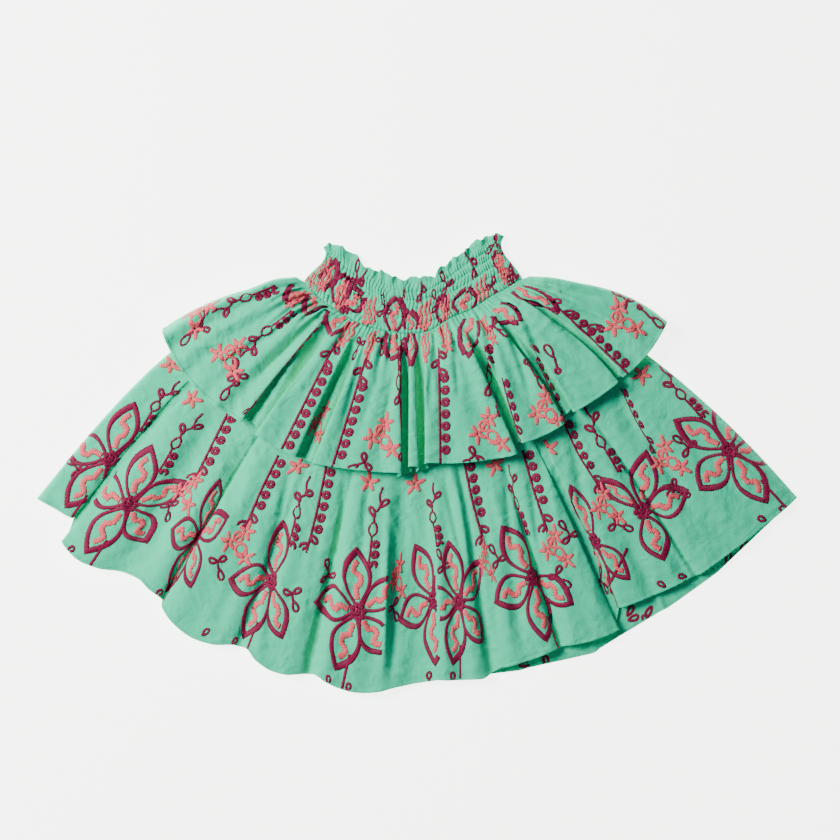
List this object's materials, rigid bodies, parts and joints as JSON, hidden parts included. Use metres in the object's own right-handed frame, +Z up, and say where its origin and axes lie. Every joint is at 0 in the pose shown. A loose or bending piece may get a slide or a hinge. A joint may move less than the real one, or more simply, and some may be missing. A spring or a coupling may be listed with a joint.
{
  "type": "two-tier pollera skirt laid flat",
  "caption": "Short gathered skirt laid flat: shirred waistband with a frilled top, short upper flounce over a full lower tier, all in soft folds.",
  "frame": {"origin": "middle of the skirt's box, on the plane that the skirt lies on", "axes": "+Y from hem to waist, +X to the wearer's left, +Z up out of the front of the skirt"},
  "size_m": [0.911, 0.5484, 0.0291],
  "materials": {
    "cotton_poplin": "matte",
    "shirred_cotton": "matte"
  },
  "bodies": {
    "root": {"waistband_front": "shirred_cotton", "waistband_back": "shirred_cotton", "upper_tier_front": "cotton_poplin", "upper_tier_back": "cotton_poplin", "lower_tier_front": "cotton_poplin", "lower_tier_back": "cotton_poplin"}
  },
  "joints": []
}
